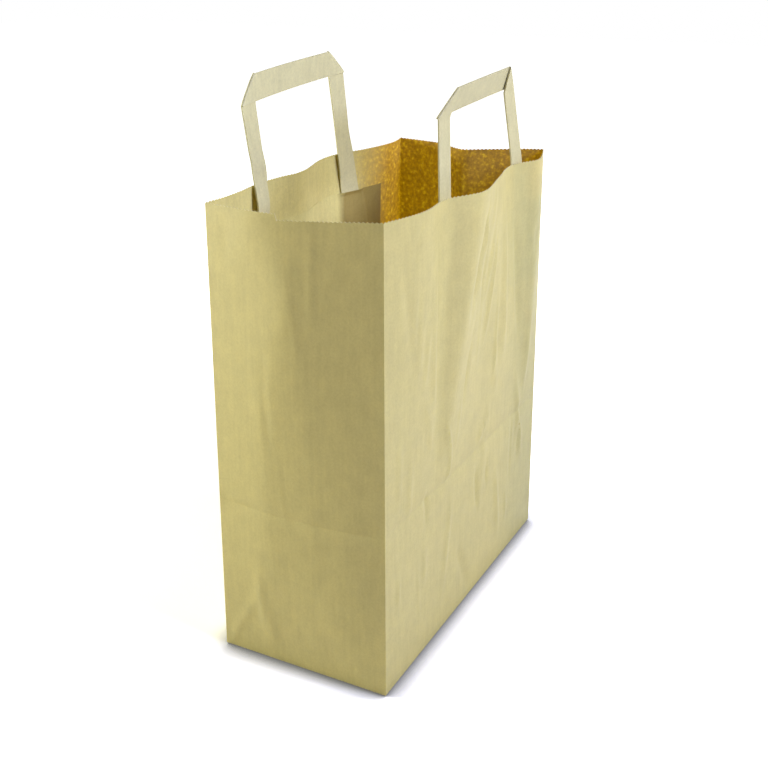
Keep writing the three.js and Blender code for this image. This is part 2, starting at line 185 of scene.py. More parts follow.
# Handles: flat tape, folded over at two corners, its legs closing in towards the bar. From the top of
# the patch up to LEG_RELEASE under the mouth a leg comes off the wall. Up to LEG_INSIDE over the mouth
# it stays inside the panel's line, and from LEG_CLEAR over the mouth on it is free of it.
TAPE_WIDTH = 14.0
TAPE_THICKNESS = 0.8
TAPE_FOLD_GAP = 0.15
LEG_INSET = 58.0
LEG_TUCK = 42.0
LEG_RELEASE = 10.0
LEG_INSIDE = 1.0
LEG_CLEAR = 18.0
LEG_SPLAY = math.radians(6.0)
HANDLE_RISE = 57.0
CORNER_GAP = 1.0
SWELL_RUN_OUT = 4
LEG_ROWS = 64
CORNER_ROWS = 9
BAR_ROWS = 26
TAPE_COLUMNS = 9

# Each loop as in the photo: shift_x moves it along the panel, drop lowers it and roll turns it in its
# own plane; near_off and far_off are how far its legs stand off the wall at the mouth, near_lean and
# far_lean how far out of the bag it leans over either leg, and bow_out how far its middle bows out;
# bar_tilt turns the bar out about its lower edge. Turns are in degrees.
FRONT_HANDLE = dict(side=-1, shift_x=10.0, drop=2.6, roll=2.5, near_off=6.5, far_off=1.3,
                    near_lean=-3.5, far_lean=-6.0, bow_out=-0.6, bar_tilt=24.0)
REAR_HANDLE = dict(side=1, shift_x=-9.9, drop=-0.9, roll=4.05, near_off=0.6, far_off=0.3,
                   near_lean=9.0, far_lean=-0.8, bow_out=2.2, bar_tilt=-6.0)

# Patches over the handle ends, each with a lip that stands off the tape at its top
PATCH_REACH = 33.6
PATCH_HEIGHT = 50.0
PATCH_DROP = 24.0
PATCH_RAMP = 5.0
PATCH_LIP = 1.2
PATCH_LIP_HEIGHT = 2.5
PATCH_COLUMNS = 180
PATCH_ROWS = 24
PATCH_TOP_STRIP = 3
PATCH_TOP_ROWS = (2, 1.2, 0.6, 0)

# Clearances between glued layers
SEAT_GAP = 0.3
PATCH_GAP = 0.5

# Edges sharper than this, in degrees, are shaded as edges
SHEET_SHARP = 30.0
TAPE_SHARP = 50.0

MOUTH_WIDTH = BASE_WIDTH - MOUTH_NARROWING
MOUTH_DEPTH = BASE_DEPTH - MOUTH_SHALLOWING
HALF_SPAN = MOUTH_WIDTH / 2 - LEG_INSET
BAR_HEIGHT = HANDLE_RISE - TAPE_WIDTH / 2
PATCH_TOP = BAG_HEIGHT - PATCH_DROP


def add_object(name, data):
    made = bpy.data.objects.new(name, data)
    bpy.context.scene.collection.objects.link(made)
    return made


def mix(a, b, t):
    return a + (b - a) * t


def smooth(x, low, high):
    t = np.clip((x - low) / (high - low), 0, 1)
    return t * t * (3 - 2 * t)


def by_height(places, z):
    return np.interp(z, *zip(*places))


class Profile:
    """A smooth line through places between 0 and 1."""

    steps = 800
    blur_steps = 80

    def __init__(self, places, blur):
        self.at = np.linspace(0, 1, self.steps + 1)
        away = np.arange(-self.blur_steps, self.blur_steps + 1) * (1 / self.steps)
        weights = np.exp(-((away / blur) ** 2) / 2)
        line = np.interp(self.at, *zip(*places))
        line = np.pad(line, self.blur_steps, mode="reflect", reflect_type="odd")
        self.value = np.convolve(line, weights / weights.sum(), "valid")

    def __call__(self, share):
        return np.interp(share, self.at, self.value)


class Relief:
    """A smooth surface through lines at some heights."""

    def __init__(self, lines, blur):
        rises = [z / BAG_HEIGHT for z, _ in lines]
        rows = np.array([Profile(places, blur).value for _, places in lines])
        self.values = np.array([Profile(list(zip(rises, column)), blur).value for column in rows.T])

    def __call__(self, share, z):
        last = len(self.values) - 1
        u, v = (np.clip(t, 0, 1) * last for t in np.broadcast_arrays(share, z / BAG_HEIGHT))
        i, j = (np.minimum(t.astype(int), last - 1) for t in (u, v))
        low = mix(self.values[i, j], self.values[i, j + 1], v - j)
        high = mix(self.values[i + 1, j], self.values[i + 1, j + 1], v - j)
        return mix(low, high, u - i)


# Walls of the bag. Sides are -1 for front and near, and 1 for rear and far.

RIM_LINES = {-1: Profile(FRONT_RIM, RIM_BLUR), 1: Profile(REAR_RIM, RIM_BLUR)}
LEANS = {-1: Profile(FRONT_LEAN, LEAN_BLUR), 1: Profile(REAR_LEAN, LEAN_BLUR)}
NEAR_RELIEF = Relief(NEAR_LINES, NEAR_BLUR)
FAR_LINE = Profile(FAR_RIM, RIM_BLUR)


def scattered_marks(count, width, seed, height):
    """Small upright creases spread over a wall, up to a height."""
    rng = np.random.RandomState(seed)
    marks = []
    for _ in range(count):
        at = rng.uniform(*SCATTER_SHARE) * width
        z = rng.uniform(*SCATTER_START)
        length = rng.uniform(*SCATTER_LENGTH)
        lean = rng.normal(0, SCATTER_LEAN) * length
        end = min(z + length, BAG_HEIGHT - SCATTER_TOP)
        crease_width = rng.uniform(*SCATTER_WIDTH)
        crease_height = rng.choice([-1, 1]) * rng.uniform(*SCATTER_HEIGHT) * height
        marks.append((at, z, at + lean, end, crease_width, crease_height))
    return marks


PANEL_CREASES = {
    -1: FRONT_MARKS + scattered_marks(count=34, width=BASE_WIDTH, seed=SEED, height=0.9),
    1: scattered_marks(count=22, width=BASE_WIDTH, seed=SEED + 2, height=0.4),
}
GUSSET_CREASES = {
    -1: NEAR_MARKS + scattered_marks(count=8, width=BASE_DEPTH, seed=SEED + 3, height=0.3),
    1: scattered_marks(count=8, width=BASE_DEPTH, seed=SEED + 1, height=0.4),
}


def corner(side_x, side_y, z):
    """A vertical fold at a height: straight from the base corner to the mouth corner."""
    rise = z / BAG_HEIGHT
    x = side_x * mix(BASE_WIDTH, MOUTH_WIDTH, rise) / 2
    y = side_y * mix(BASE_DEPTH, MOUTH_DEPTH, rise) / 2
    return x + rise * (MOUTH_SHIFT_X - side_y * MOUTH_SKEW), y + rise * MOUTH_SHIFT_Y


def fold_crease(share, z):
    """The dent of the fold-over crease, which runs out at the vertical folds."""
    dent = np.maximum(0, 1 - np.abs(z - FOLD_HEIGHT) / FOLD_REACH) ** FOLD_STEEPNESS
    return -FOLD_DENT * dent * (1 - (2 * share - 1) ** FOLD_RUN_OUT)


def wrinkles(marks, along, z):
    """Soft creases on a wall: each runs from one place to another, with a width and a height."""
    out = np.zeros(np.broadcast(along, z).shape)
    for a0, z0, a1, z1, width, height in marks:
        run = np.array([a1 - a0, z1 - z0])
        length = np.hypot(*run)
        run = run / length
        t = (along - a0) * run[0] + (z - z0) * run[1]
        off = (along - a0) * run[1] - (z - z0) * run[0]
        before, after = -CREASE_BEFORE * length, CREASE_AFTER * length
        ends = smooth(t, before, after) * smooth(length - t, before, after)
        out += height * ends * np.exp(-((off / width) ** 2))
    return out


def calm_wrinkles(marks, share, width, z, margin):
    """Creases of a wall, which run out within a margin of its folds."""
    calm = np.clip(np.minimum(share, 1 - share) * width / margin, 0, 1)
    return calm * wrinkles(marks, share * width, z)


def panel_out(side, share, z):
    """Waves of a wide panel, which grow towards the mouth."""
    down = np.minimum(BAG_HEIGHT - z, LEAN_REACH)
    at_mouth = np.clip(share - LEANS[side](share) * down, 0, 1)
    return RIM_LINES[side](at_mouth) * smooth(z, WAVE_FLOOR, BAG_HEIGHT)


def panel_point(side, share, z):
    """A wide panel, from its near fold (share 0) to its far fold (share 1)."""
    near_x, near_y = corner(-1, side, z)
    far_x, far_y = corner(1, side, z)
    out = panel_out(side, share, z) + fold_crease(share, z)
    out = out + calm_wrinkles(PANEL_CREASES[side], share, far_x - near_x, z, PANEL_MARGIN)
    return mix(near_x, far_x, share), mix(near_y, far_y, share) + side * out


def far_fold(z):
    return by_height(FAR_FOLD, z)


def far_out(share, z):
    """The far gusset folds in along its centre, down to the point where the base folds spread."""
    fold, top_fold = far_fold(z), far_fold(BAG_HEIGHT)
    at_mouth = np.where(share < fold, share * top_fold / fold,
                        top_fold + (share - fold) * (1 - top_fold) / (1 - fold))
    facet = np.minimum(FAR_LINE(at_mouth) / FAR_LINE(top_fold), z / FAR_APEX)
    return by_height(FAR_REACH, z) * facet


def gusset_point(side, share, z):
    """A gusset, from its front fold (share 0) to its rear fold (share 1)."""
    front_x, front_y = corner(side, -1, z)
    rear_x, rear_y = corner(side, 1, z)
    relief = NEAR_RELIEF if side < 0 else far_out
    out = relief(share, z) + fold_crease(share, z)
    out = out + calm_wrinkles(GUSSET_CREASES[side], share, rear_y - front_y, z, GUSSET_MARGIN)
    return mix(front_x, rear_x, share) + side * out, mix(front_y, rear_y, share)


def level_mouth(share):
    return np.full_like(share, BAG_HEIGHT)


def near_mouth(share):
    """On the near gusset the cut drops at the centre fold and climbs back to the front fold."""
    return np.where(share < NEAR_FOLD, BAG_HEIGHT - DIP_DEPTH * share / NEAR_FOLD, BAG_HEIGHT)


# The walls in turn, counter-clockwise from above, so the rear and near ones run backwards
WALLS = [
    dict(length=BASE_WIDTH, fold=None, at=lambda t, z: panel_point(-1, t, z), mouth=level_mouth),
    dict(length=BASE_DEPTH, fold=far_fold, at=lambda t, z: gusset_point(1, t, z), mouth=level_mouth),
    dict(length=BASE_WIDTH, fold=None, at=lambda t, z: panel_point(1, 1 - t, z), mouth=level_mouth),
    dict(length=BASE_DEPTH, fold=None, at=lambda t, z: gusset_point(-1, 1 - t, z),
         mouth=lambda t: near_mouth(1 - t)),
]


def wall_columns(wall, even, z):
    """Columns of a wall at a height, spread evenly on each side of its centre fold if it has one."""
    if wall["fold"] is None:
        return even
    fold = wall["fold"](z)
    return np.where(even < 0.5, 2 * even * fold, mix(fold, 1, 2 * even - 1))


def wall_grid(wall, heights):
    """Points of a wall, row by row from the base to its toothed rim, without its last column."""
    count = 2 * round(wall["length"] / TOOTH_PITCH)
    even = np.arange(count) / count
    rows = [(wall_columns(wall, even, z), np.full(count, z)) for z in heights]
    t = wall_columns(wall, even, BAG_HEIGHT)
    rim = wall["mouth"](t) - np.where(np.arange(count) % 2, 0, TOOTH_DEPTH)
    for k in range(1, RIM_ROWS + 1):
        rows.append((t, mix(heights[-1], rim, k / RIM_ROWS)))
    t, z = (np.array(part) for part in zip(*rows))
    x, y = wall["at"](t, z)
    return np.stack([x, y, z], axis=-1)


def sheet_rings():
    """Rings around the bag, from its bottom edge to the mouth, drawn in along the bottom edge."""
    top = BAG_HEIGHT - DIP_DEPTH - RIM_STRIP
    start = BASE_FLOOR + EDGE_LIFT
    even = np.linspace(start + EDGE_ROUND, top, int((top - start) / ROW_STEP))
    bend = start + EDGE_ROUND * np.array(EDGE_ROWS)
    crease = FOLD_HEIGHT + np.array(FOLD_ROWS)
    heights = np.unique(np.concatenate([bend, even, crease, [FAR_APEX]]).round(3))
    rings = np.concatenate([wall_grid(wall, heights) for wall in WALLS], axis=1)
    above = np.clip((rings[..., 2] - start) / EDGE_ROUND, 0, 1)
    depth = EDGE_ROUND * (1 - np.sqrt(1 - (1 - above) ** 2))
    rings[..., 0] *= 1 - depth / (BASE_WIDTH / 2)
    rings[..., 1] *= 1 - depth / (BASE_DEPTH / 2)
    return rings


def inset(rings, depth):
    """Rings moved inwards, each in its own plane."""
    xy = rings[..., :2]
    ahead = np.roll(xy, -1, axis=1) - xy
    inward = np.stack([-ahead[..., 1], ahead[..., 0]], axis=-1)
    inward /= np.linalg.norm(inward, axis=-1, keepdims=True)
    before = np.roll(inward, 1, axis=1)
    shift = (before + inward) * (depth / (1 + (before * inward).sum(-1, keepdims=True)))
    return np.concatenate([xy + shift, rings[..., 2:]], axis=-1)


class MeshParts:
    """Points and faces of one piece, gathered part by part."""

    def __init__(self):
        self.points = []
        self.faces = []
        self.slots = []
        self.count = 0

    def add(self, grid):
        """Adds a grid of points and gives the grid of their numbers."""
        rows, columns, _ = grid.shape
        first = self.count
        self.points.append(grid.reshape(-1, 3))
        self.count += rows * columns
        return np.arange(first, self.count).reshape(rows, columns)

    def face(self, corners, slot=0):
        self.faces.append(tuple(int(i) for i in corners))
        self.slots.append(slot)

    def tube(self, index, slot=0, flip=False):
        """Quads over a grid of point numbers, whose rows close on themselves."""
        rows, columns = index.shape
        for r in range(rows - 1):
            for c in range(columns):
                d = (c + 1) % columns
                quad = [index[r, c], index[r, d], index[r + 1, d], index[r + 1, c]]
                self.face(quad[::-1] if flip else quad, slot)

    def sheet(self, face, back, flip):
        """A closed sheet between the grids of its two faces."""
        index = self.add(np.concatenate([face, back[:, ::-1]], axis=1))
        self.tube(index, flip=flip)
        self.sheet_end(index[0], not flip)
        self.sheet_end(index[-1], flip)

    def sheet_end(self, row, flip):
        """Closes the end of a sheet, whose row runs along one face and back along the other."""
        count = len(row)
        for i in range(count // 2 - 1):
            quad = [row[i], row[i + 1], row[count - 2 - i], row[count - 1 - i]]
            self.face(quad[::-1] if flip else quad)

    def object(self, name, materials, sharp):
        mesh = bpy.data.meshes.new(name)
        mesh.from_pydata((np.concatenate(self.points) * MM).tolist(), [], self.faces)
        for material in materials:
            mesh.materials.append(material)
        mesh.polygons.foreach_set("material_index", self.slots)
        mesh.update()
        mesh.shade_smooth()
        mesh.set_sharp_from_angle(angle=math.radians(sharp))
        return add_object(name, mesh)


def base_height(x, y):
    """Top of the flaps under the base, which rises to the bottom edges."""
    in_x = BASE_WIDTH / 2 - EDGE_ROUND - np.abs(x)
    in_y = BASE_DEPTH / 2 - EDGE_ROUND - np.abs(y)
    return BASE_FLOOR + EDGE_LIFT * (1 - smooth(np.minimum(in_x, in_y), 0, EDGE_FALL))


def base_rings(ring, rise):
    """Rings on the base, from just inside the bottom edge to its middle."""
    half = np.array([BASE_WIDTH, BASE_DEPTH]) / 2
    rings = []
    for step in BASE_ROWS:
        x, y = (ring[:, :2] * (1 - step / half)).T
        rings.append(np.stack([x, y, base_height(x, y) + rise], axis=-1))
    return np.array(rings)


def bag_sheet(name, outside, inside, cut):
    """The folded sheet: its outer and inner face, the cut edge of the mouth, base and bottom flaps."""
    outside_slot, inside_slot, cut_slot = range(3)
    parts = MeshParts()
    outer = sheet_rings()
    inner = inset(outer, PAPER)
    inner[0, :, 2] += PAPER
    inner[-1] = inset(outer[-1:], FRAY)[0]
    outer_index = parts.add(outer)
    inner_index = parts.add(inner)
    parts.tube(outer_index, outside_slot)
    parts.tube(inner_index, inside_slot, flip=True)
    parts.tube(np.array([outer_index[-1], inner_index[-1]]), cut_slot)
    for edge, ring, rise, slot, flip in (
        (outer_index[0], outer[0], 0.0, outside_slot, False),
        (inner_index[0], inner[0], PAPER, inside_slot, True),
    ):
        added = parts.add(base_rings(ring, rise))
        parts.tube(np.concatenate([edge[None], added]), slot, flip)
        parts.face(added[-1] if flip else added[-1][::-1], slot)
    for side, underside in ((-1, 0.0), (1, PAPER)):
        bottom_flap(parts, side, underside)
    return parts.object(name, [outside, inside, cut], SHEET_SHARP)


def bottom_flap(parts, side, underside):
    """A flap of one wide panel, folded under the base, its ends folded in at 45 degrees."""
    fold_edge = side * (BASE_DEPTH / 2 - FLAP_INSET - EDGE_ROUND)
    free_edge = -side * FLAP_LAP / 2
    half = BASE_WIDTH / 2 - FLAP_INSET - EDGE_ROUND
    rows = []
    for y in np.linspace(fold_edge, free_edge, FLAP_ROWS):
        x = np.linspace(-1, 1, FLAP_COLUMNS) * (half - abs(fold_edge - y))
        rows.append(np.stack([x, np.full_like(x, y), base_height(x, y)], axis=-1))
    under_base = np.array(rows)
    top = under_base - [0, 0, FLAP_GAP]
    low = under_base - [0, 0, BASE_FLOOR - underside]
    parts.sheet(top, low, flip=side > 0)


# Handles


def inside_y(side, x, z):
    """Inner face of a wide panel at a place."""
    near_x, _ = corner(-1, side, z)
    far_x, _ = corner(1, side, z)
    share = np.clip((x - near_x) / (far_x - near_x), 0, 1)
    return panel_point(side, share, z)[1] - side * PAPER


def handle_place(handle, p):
    """A point of the handle's plane, turned by its roll and set on the panel."""
    roll = math.radians(handle["roll"])
    x = p[..., 0] * math.cos(roll) - p[..., 1] * math.sin(roll)
    z = p[..., 0] * math.sin(roll) + p[..., 1] * math.cos(roll)
    return MOUTH_SHIFT_X + handle["shift_x"] + x, BAG_HEIGHT - handle["drop"] + z


def leg_foot(handle, leg):
    """Where the middle line of a leg (-1 near, 1 far) crosses the handle's zero line, at the mouth."""
    return handle_place(handle, np.array([leg * HALF_SPAN, 0.0]))


def handle_surface(handle, x, z):
    """The free surface that a handle follows above the mouth."""
    side = handle["side"]
    near_x, far_x = (leg_foot(handle, leg)[0] for leg in (-1, 1))
    near_y = inside_y(side, near_x, BAG_HEIGHT) - side * (SEAT_GAP + handle["near_off"])
    far_y = inside_y(side, far_x, BAG_HEIGHT) - side * (SEAT_GAP + handle["far_off"])
    share = (x - near_x) / (far_x - near_x)
    lean = mix(handle["near_lean"], handle["far_lean"], share) * (z - BAG_HEIGHT) / HANDLE_RISE
    bow = handle["bow_out"] * 4 * share * (1 - share)
    return mix(near_y, far_y, share) + side * (lean + bow)


def half_handle_rows():
    """Rows across the tape from the end of a leg to the middle of the bar: its two edges, how deep
    the row lies behind the leg, and how far the fold swells between the edges."""
    along = np.array([math.sin(LEG_SPLAY), math.cos(LEG_SPLAY)])
    across = np.array([-along[1], along[0]]) * TAPE_WIDTH / 2
    fold_angle = math.pi / 4 - LEG_SPLAY / 2
    meeting = np.array([BAR_HEIGHT * math.tan(LEG_SPLAY) - HALF_SPAN, BAR_HEIGHT])
    reach = np.array([1 / math.tan(fold_angle), 1]) * TAPE_WIDTH / 2
    fold_a, fold_b = meeting - reach, meeting + reach
    low, high = -(PATCH_DROP + LEG_TUCK), fold_a[1] - CORNER_GAP
    flat = np.zeros(2)
    rows = []
    for height in np.linspace(low, high, LEG_ROWS):
        centre = np.array([height * math.tan(LEG_SPLAY) - HALF_SPAN, height])
        rows.append((centre + across, centre - across, 0.0, flat))
    fold_out = np.array([-reach[1], reach[0]])
    fold_out = fold_out / np.linalg.norm(fold_out)
    turn_radius = (TAPE_THICKNESS + TAPE_FOLD_GAP) / 2
    for angle in np.linspace(0, math.pi, CORNER_ROWS):
        swell = fold_out * turn_radius * math.sin(angle)
        rows.append((fold_a, fold_b, turn_radius * (1 - math.cos(angle)), swell))
    bar_low, bar_high = BAR_HEIGHT - TAPE_WIDTH / 2, BAR_HEIGHT + TAPE_WIDTH / 2
    for x in np.linspace(fold_b[0] + CORNER_GAP, 0, BAR_ROWS):
        rows.append((np.array([x, bar_low]), np.array([x, bar_high]), 2 * turn_radius, flat))
    return rows


def handle_rows():
    half = half_handle_rows()
    mirror = np.array([-1, 1])
    rest = [(a * mirror, b * mirror, depth, swell * mirror) for a, b, depth, swell in half[:-1]]
    return half + rest[::-1]


def tape_seat(handle, x, z):
    """The wall side of a row across the tape: on the wall at the leg's end, then free of it."""
    side = handle["side"]
    wall = inside_y(side, x, np.minimum(z, BAG_HEIGHT))
    chord = mix(wall[0], wall[-1], np.linspace(0, 1, TAPE_COLUMNS))
    lift = max(0.0, (side * (chord - wall)).max()) + SEAT_GAP
    seat = chord - side * lift
    free = smooth(z, PATCH_TOP, BAG_HEIGHT - LEG_RELEASE)
    y = mix(seat, handle_surface(handle, x, z), free)
    inner = np.minimum(y, seat) if side > 0 else np.maximum(y, seat)
    return mix(inner, y, smooth(z, BAG_HEIGHT + LEG_INSIDE, BAG_HEIGHT + LEG_CLEAR))


def tape_middle(handle):
    """Points of the tape's middle surface, row by row, across the tape. A fold's swell is full in
    the middle of the tape and none at its edges."""
    tilt = math.radians(handle["bar_tilt"])
    shares = np.linspace(0, 1, TAPE_COLUMNS)
    between = 1 - (2 * shares - 1) ** SWELL_RUN_OUT
    grid = []
    for a, b, depth, swell in handle_rows():
        p = mix(a, b, shares[:, None]) + between[:, None] * swell
        y = tape_seat(handle, *handle_place(handle, p))
        over = np.maximum(0, p[:, 1] - (BAR_HEIGHT - TAPE_WIDTH / 2))
        tilted = np.stack([p[:, 0], p[:, 1] - over * (1 - math.cos(tilt))], axis=-1)
        x, z = handle_place(handle, tilted)
        y = y + handle["side"] * (over * math.sin(tilt) - depth - TAPE_THICKNESS / 2)
        grid.append(np.stack([x, y, z], axis=-1))
    return np.array(grid)


def tape_object(name, handle, material):
    """The tape as a closed solid around its middle surface."""
    middle = tape_middle(handle)
    along = np.gradient(middle, axis=0)
    across = np.gradient(middle, axis=1)
    normal = np.cross(along, across)
    normal /= np.linalg.norm(normal, axis=-1, keepdims=True)
    half = normal * (TAPE_THICKNESS / 2)
    parts = MeshParts()
    index = parts.add(np.concatenate([middle + half, (middle - half)[:, ::-1]], axis=1))
    parts.tube(index)
    parts.face(index[0][::-1])
    parts.face(index[-1])
    return parts.object(name, [material], TAPE_SHARP)


# Patches


def leg_edges(handle, leg, z):
    """The two edges of a leg at a height, in order along X."""
    lean = -leg * LEG_SPLAY - math.radians(handle["roll"])
    foot_x, foot_z = leg_foot(handle, leg)
    centre = foot_x + math.tan(lean) * (z - foot_z)
    reach = TAPE_WIDTH / (2 * math.cos(lean))
    return centre - reach, centre + reach


def patch_row(handle, x, z):
    """A row of the patch: on the wall, and over each leg with a ramp on both sides."""
    side = handle["side"]
    panel = inside_y(side, x, z)
    lip = PATCH_LIP * smooth(z, PATCH_TOP - PATCH_LIP_HEIGHT, PATCH_TOP)
    y = panel - side * PATCH_GAP
    for leg in (-1, 1):
        low, high = leg_edges(handle, leg, z)
        wall = inside_y(side, np.array([low, high]), z)
        inside = (x > low) & (x < high)
        chord = mix(wall[0], wall[1], (x - low) / (high - low))
        poke = (side * (chord - panel))[inside].max()
        over = chord - side * (max(0.0, poke) + SEAT_GAP + TAPE_THICKNESS + PATCH_GAP)
        rise = smooth(x, low - PATCH_RAMP, low) * smooth(-x, -high - PATCH_RAMP, -high)
        y = mix(y, over - side * lip, rise)
    return np.stack([x, y, np.full_like(x, z)], axis=-1)


def patch_object(name, handle, material):
    side = handle["side"]
    middle_x, _ = handle_place(handle, np.zeros(2))
    x = middle_x + (HALF_SPAN + PATCH_REACH) * np.linspace(-1, 1, PATCH_COLUMNS)
    even = np.linspace(PATCH_TOP - PATCH_HEIGHT, PATCH_TOP - PATCH_TOP_STRIP, PATCH_ROWS)
    heights = np.append(even, PATCH_TOP - np.array(PATCH_TOP_ROWS))
    face = np.array([patch_row(handle, x, z) for z in heights])
    parts = MeshParts()
    parts.sheet(face, face - [0, side * PAPER, 0], flip=side > 0)
    return parts.object(name, [material], TAPE_SHARP)


# Materials: colours in linear light, and places in metres

OUTSIDE_TONE = (0.58, 0.545, 0.245)
OUTSIDE_GLOW = (0.95, 0.75, 0.35, 1)
OUTSIDE_THINNESS = 0.25
# The inside face is the same kraft as the outside, painted lighter as painted light inside the bag
INSIDE_LIT_TONE = (0.70, 0.63, 0.26)
# The cut edge of the mouth is painted lighter than the sheet: a painted highlight along the rim
CUT_HIGHLIGHT_TONE = (0.78, 0.71, 0.42)
# One tape on both handles: the front one is painted darker as painted shade, the rear one lighter as
# painted light
FRONT_TAPE_SHADED_TONE = (0.51, 0.465, 0.26)
REAR_TAPE_LIT_TONE = (0.615, 0.575, 0.335)
# Painted shade on the patch paper: its colour, and the places along X between which it sets in, from
# the far leg outwards
PATCH_PAINTED_SHADE_TONE = (0.35, 0.27, 0.08)
PATCH_SHADE_FROM, PATCH_SHADE_TO = 0.036, 0.041

# Light through the far end of the bag: fleck colours by noise, and the share of it along X
FLECKS = [
    (0.34, (0.42, 0.26, 0.002)),
    (0.54, (0.60, 0.40, 0.006)),
    (0.72, (0.90, 0.74, 0.03)),
]
THIN_FROM, THIN_TO = 0.045, 0.085
THINNESS_NEAR, THINNESS_FAR = 0.05, 0.85

# The noise values that give the darkest and the lightest tone, and how far the fibres stand out
NOISE_LOW, NOISE_HIGH = 0.3, 0.7
FIBRE_HEIGHT = 0.0002

# Sockets of a Mix node that blends colours: the share and the two colours, and the result
BLEND_INPUTS = (0, 6, 7)
BLEND_OUTPUT = 2


class Tree:
    """The node tree of a material or world, with short calls to add and join nodes."""

    def __init__(self, owner):
        owner.use_nodes = True
        self.owner = owner
        self.nodes = owner.node_tree.nodes
        self.links = owner.node_tree.links
        self.nodes.clear()

    def feed(self, socket, value):
        """Joins a socket to an output, or sets its value."""
        if isinstance(value, bpy.types.NodeSocket):
            self.links.new(value, socket)
        else:
            socket.default_value = value

    def node(self, kind, inputs=None, **settings):
        made = self.nodes.new("ShaderNode" + kind)
        for key, value in settings.items():
            setattr(made, key, value)
        for key, value in (inputs or {}).items():
            self.feed(made.inputs[key], value)
        return made

    def place(self):
        return self.node("TexCoord").outputs["Object"]

    def noise(self, scale, stretch=(1, 1, 1), detail=4.0, roughness=0.55):
        mapped = self.node("Mapping", {"Vector": self.place(), "Scale": stretch})
        return self.node("TexNoise", {"Vector": mapped.outputs["Vector"], "Scale": scale,
                                      "Detail": detail, "Roughness": roughness}).outputs["Fac"]

    def ramp(self, value, stops):
        made = self.node("ValToRGB", {"Fac": value})
        elements = made.color_ramp.elements
        while len(elements) < len(stops):
            elements.new(0.5)
        for element, (place, colour) in zip(elements, stops):
            element.position = place
            element.color = (*colour, 1)
        return made.outputs["Color"]

    def along(self, value, start, end, first=0.0, last=1.0):
        """A number that goes from first to last while a value goes from start to end."""
        return self.node("MapRange", {"Value": value, "From Min": start, "From Max": end,
                                      "To Min": first, "To Max": last}).outputs[0]

    def place_x(self):
        return self.node("SeparateXYZ", {0: self.place()}).outputs["X"]

    def work_out(self, operation, a, b):
        return self.node("Math", {0: a, 1: b}, operation=operation).outputs[0]

    def blend(self, share, a, b, mode="MIX"):
        made = self.node("Mix", data_type="RGBA", blend_type=mode)
        for key, value in zip(BLEND_INPUTS, (share, a, b)):
            self.feed(made.inputs[key], (*value, 1) if isinstance(value, tuple) else value)
        return made.outputs[BLEND_OUTPUT]

    def mix_shaders(self, share, a, b):
        return self.node("MixShader", {0: share, 1: a, 2: b}).outputs[0]

    def finish(self, shader):
        self.node("OutputMaterial", {"Surface": shader})
        return self.owner


def material_tree(name):
    return Tree(bpy.data.materials.new(name))


def tinted(tree, colour, noise, dark, light):
    """A colour made darker and lighter by a noise."""
    tones = tree.ramp(noise, [(NOISE_LOW, (dark,) * 3), (NOISE_HIGH, (light,) * 3)])
    return tree.blend(1.0, colour, tones, "MULTIPLY")


def kraft_colour(tree, base):
    """Kraft stock: cloudy tone, upright fibre streaks and fine grain around a base colour."""
    clouds = tree.noise(scale=110, detail=6, roughness=0.65)
    streaks = tree.noise(scale=420, stretch=(1, 1, 0.09), detail=5)
    grain = tree.noise(scale=900, detail=3)
    colour = tinted(tree, base, clouds, dark=0.93, light=1.06)
    colour = tinted(tree, colour, streaks, dark=0.95, light=1.04)
    return tinted(tree, colour, grain, dark=0.93, light=1.06)


def kraft_shader(tree, base, roughness, bump=0.3):
    """Matt paper of a base colour, with fibres that run upright in its surface."""
    colour = kraft_colour(tree, base)
    fibres = tree.noise(scale=700, stretch=(1, 1, 0.12), detail=6)
    surface = tree.node("Bump", {"Height": fibres, "Strength": bump, "Distance": FIBRE_HEIGHT})
    return tree.node("BsdfPrincipled", {"Base Color": colour, "Roughness": roughness,
                                        "Specular IOR Level": 0.5,
                                        "Normal": surface.outputs["Normal"]}).outputs[0]


def outside_material():
    tree = material_tree("kraft_outside")
    shader = kraft_shader(tree, OUTSIDE_TONE, roughness=0.5, bump=0.35)
    through = tree.node("BsdfTranslucent", {"Color": OUTSIDE_GLOW}).outputs[0]
    return tree.finish(tree.mix_shaders(OUTSIDE_THINNESS, shader, through))


def inside_material():
    tree = material_tree("kraft_inside")
    # The inside colour is painted lighter than the outside, as painted light
    shader = kraft_shader(tree, INSIDE_LIT_TONE, roughness=0.7)
    flecks = tree.ramp(tree.noise(scale=430, detail=2, roughness=0.6), FLECKS)
    through = tree.node("BsdfTranslucent", {"Color": flecks}).outputs[0]
    thinness = tree.along(tree.place_x(), THIN_FROM, THIN_TO, THINNESS_NEAR, THINNESS_FAR)
    return tree.finish(tree.mix_shaders(thinness, shader, through))


def cut_material():
    tree = material_tree("kraft_cut_edge")
    # The cut edge's lighter colour is a painted highlight along the rim
    return tree.finish(kraft_shader(tree, CUT_HIGHLIGHT_TONE, roughness=0.8))


def tape_material(name, tone):
    tree = material_tree(name)
    return tree.finish(kraft_shader(tree, tone, roughness=0.6))


def patch_material():
    """Patch paper, with painted shade from the far leg outwards."""
    tree = material_tree("patch_paper_stock")
    # Painted shade: the patch colour goes darker from the far leg outwards
    dark = tree.along(tree.place_x(), PATCH_SHADE_FROM, PATCH_SHADE_TO)
    tone = tree.blend(dark, INSIDE_LIT_TONE, PATCH_PAINTED_SHADE_TONE)
    return tree.finish(kraft_shader(tree, tone, roughness=0.7))


# Camera, lights and floor

CAMERA_PLACE = Vector((-528.9, -270.6, 378.9)) * MM
CAMERA_TURN = 27.60
CAMERA_DIP = -22.42
CAMERA_LENS = 50.34
CAMERA_SENSOR = 36.0

